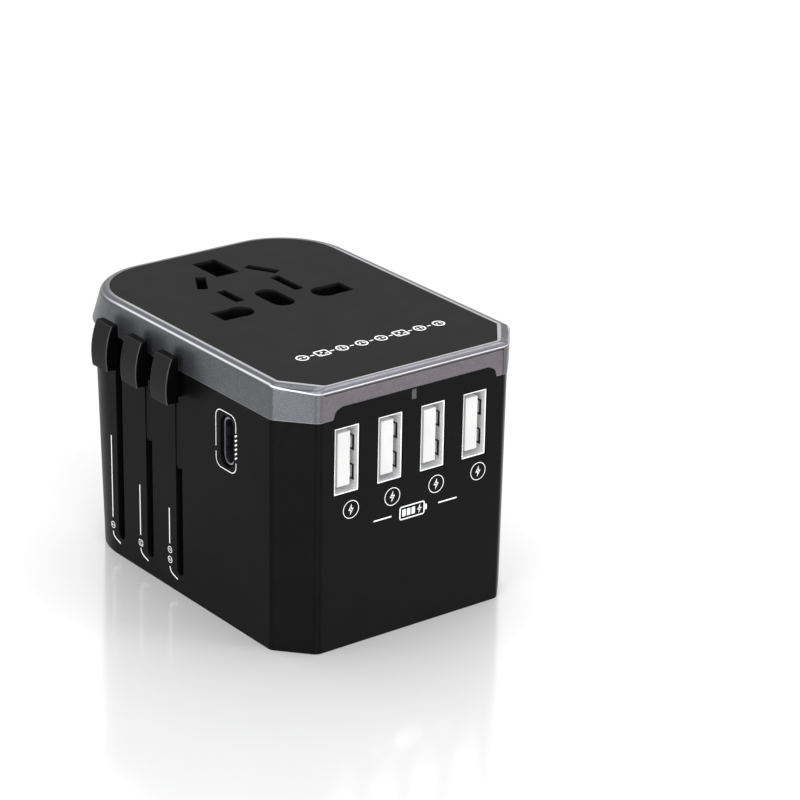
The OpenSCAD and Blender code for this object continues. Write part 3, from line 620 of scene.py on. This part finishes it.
LEAF_Z = (-2.9, 2.7)  # middles of the two leaves, from the shell's middle
LEAF_BENDS = ((0.0, 0.42), (0.7, 0.5), (1.6, 0.42), (3.0, 0.16), (5.0, 0.0))  # way in, bulge
LEAF_HALF_W, LEAF_THICK = 0.9, 0.12
# the dark of each cut is a thin black sheet on the wall: painted shade
CUT_THICK = 0.02
# The cut's three straight parts: from and to along Y, then along Z
CUT_PARTS = ((-0.55, 0.0, -1.5, 1.5), (0.0, 4.6, -1.5, -1.15), (0.0, 4.6, 1.15, 1.5))


def fingers(port):
    """Two bent spring leaves on the +X wall of a shell, each inside a U-shaped cut, shown as a thin
    black sheet of painted shade.
    """
    low, high = (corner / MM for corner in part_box(f"usb_a_shell_{port}"))
    x = high.x - 0.26  # just inside the shell's wall
    y = low.y + 1.6  # where the leaves start, behind the shell's mouth
    leaves, cut_shades = bmesh.new(), bmesh.new()
    for leaf_z in LEAF_Z:
        z = (low.z + high.z) / 2 + leaf_z
        bar(leaves, [[Vector((x - bulge - t, y + inwards, z + w)) * MM
                      for t, w in ((0, -LEAF_HALF_W), (0, LEAF_HALF_W),
                                   (LEAF_THICK, LEAF_HALF_W), (LEAF_THICK, -LEAF_HALF_W))]
                     for inwards, bulge in LEAF_BENDS])
        for y0, y1, z0, z1 in CUT_PARTS:
            bar(cut_shades, [[Vector((x - t, y + end, z + side)) * MM
                        for t, side in ((CUT_THICK, z0), (0, z0), (0, z1), (CUT_THICK, z1))]
                       for end in (y0, y1)])
    for bm, label, material in ((leaves, "fingers", STEEL), (cut_shades, "cut_shades", INNER)):
        bmesh.ops.recalc_face_normals(bm, faces=bm.faces)
        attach(new_object(f"usb_a_{port}_{label}", bm, material, smooth=40), "body")


for port in PORTS:
    fingers(port)


# ---- Floor, light and camera, in metres ---------------------------------------------------------

CAMERA_PLACE = (-0.32205, -0.44701, 0.25587)
CAMERA_TILT, CAMERA_ROLL, CAMERA_HEADING = 67.92145, 1.11924, -37.79135  # degrees
LENS, SENSOR = 144.61, 36  # focal length and width, in mm
FLOOR_HALF = 3
FLOOR_GAP = 0.00005  # the floor lies this far under the part, so that the two never share a plane


def floor():
    """Plain pale floor with a soft gloss."""
    bm = bmesh.new()
    bmesh.ops.create_grid(bm, x_segments=8, y_segments=8, size=FLOOR_HALF)
    s = Shader("pale_floor", (0.73, 0.73, 0.735), 0.4, specular=0.3, coat=1.0, coat_rough=0.13)
    s.paint(s.cloudy(s.noise(900, 2), (0.72, 0.72, 0.725), (0.74, 0.74, 0.745)))
    s.set("Coat IOR", 2.4)
    ground = new_object("floor", bm, s.mat)
    ground.location.z = -FLOOR_GAP


def softbox(name, place, aim, size, power):
    """Rectangular light at a place, turned towards aim."""
    data = bpy.data.lights.new(name, "AREA")
    data.shape = "RECTANGLE"
    data.size, data.size_y = size
    data.energy = power
    lamp = bpy.data.objects.new(name, data)
    lamp.location = place
    lamp.rotation_mode = "QUATERNION"
    lamp.rotation_quaternion = (Vector(aim) - Vector(place)).to_track_quat("-Z", "Y")
    bpy.context.scene.collection.objects.link(lamp)


def sky(strength):
    """Even white light from all round."""
    world = bpy.data.worlds.new("studio")
    bpy.context.scene.world = world
    world.use_nodes = True
    background = world.node_tree.nodes["Background"]
    background.inputs["Color"].default_value = (1, 1, 1, 1)
    background.inputs["Strength"].default_value = strength


def camera():
    """Long lens, looking down at the corner between the sliders and the USB-A ports."""
    data = bpy.data.cameras.new("camera")
    data.lens, data.sensor_width = LENS, SENSOR
    data.clip_start, data.clip_end = 0.01, 20
    cam = bpy.data.objects.new("camera", data)
    turn = Matrix.Identity(4)
    for degrees, axis in ((CAMERA_HEADING, "Z"), (CAMERA_TILT, "X"), (CAMERA_ROLL, "Z")):
        turn = turn @ Matrix.Rotation(math.radians(degrees), 4, axis)
    cam.matrix_world = Matrix.Translation(CAMERA_PLACE) @ turn
    bpy.context.scene.collection.objects.link(cam)
    bpy.context.scene.camera = cam


floor()
sky(1.0)
softbox("top_softbox", (0.05, 0.15, 0.75), aim=(0, 0, 0.03), size=(0.6, 0.6), power=2.5)
softbox("front_softbox", (-0.25, -0.75, 0.3), aim=(0, 0, 0.03), size=(0.4, 0.3), power=3)
softbox("right_softbox", (0.42, -0.56, 0.32), aim=(0, 0, 0.04), size=(0.25, 0.25), power=1.5)
softbox("corner_softbox", (-0.66, -0.33, 0.2), aim=(0, 0, 0.04), size=(0.2, 0.2), power=1.8)
camera()
bpy.context.scene.view_settings.view_transform = "Standard"
